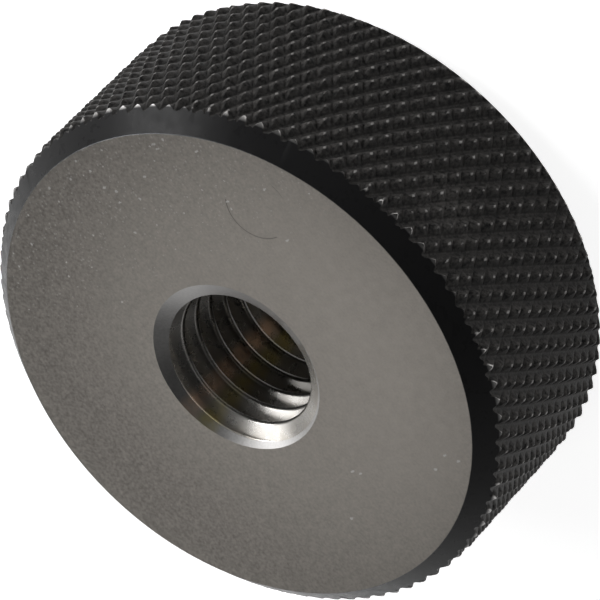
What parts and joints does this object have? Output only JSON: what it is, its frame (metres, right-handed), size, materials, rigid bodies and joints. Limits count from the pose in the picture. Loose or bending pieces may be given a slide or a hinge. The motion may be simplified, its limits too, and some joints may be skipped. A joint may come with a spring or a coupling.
{
  "type": "thread ring gauge",
  "caption": "Solid go ring gauge for checking an external metric screw thread: ground faces, chamfered diamond-knurled rim and a countersunk threaded bore.",
  "frame": {"origin": "middle of the back face that the ring lies on", "axes": "+Z along the bore axis, from the back face to the front face; X and Y lie in the back face, with no feature to tell them apart"},
  "size_m": [0.038, 0.038, 0.016],
  "materials": {
    "gauge_steel": "ground bright on the faces and in the bore, blackened on the chamfers and the knurl"
  },
  "bodies": {
    "root": {"ring_gauge": "gauge_steel"}
  },
  "joints": []
}
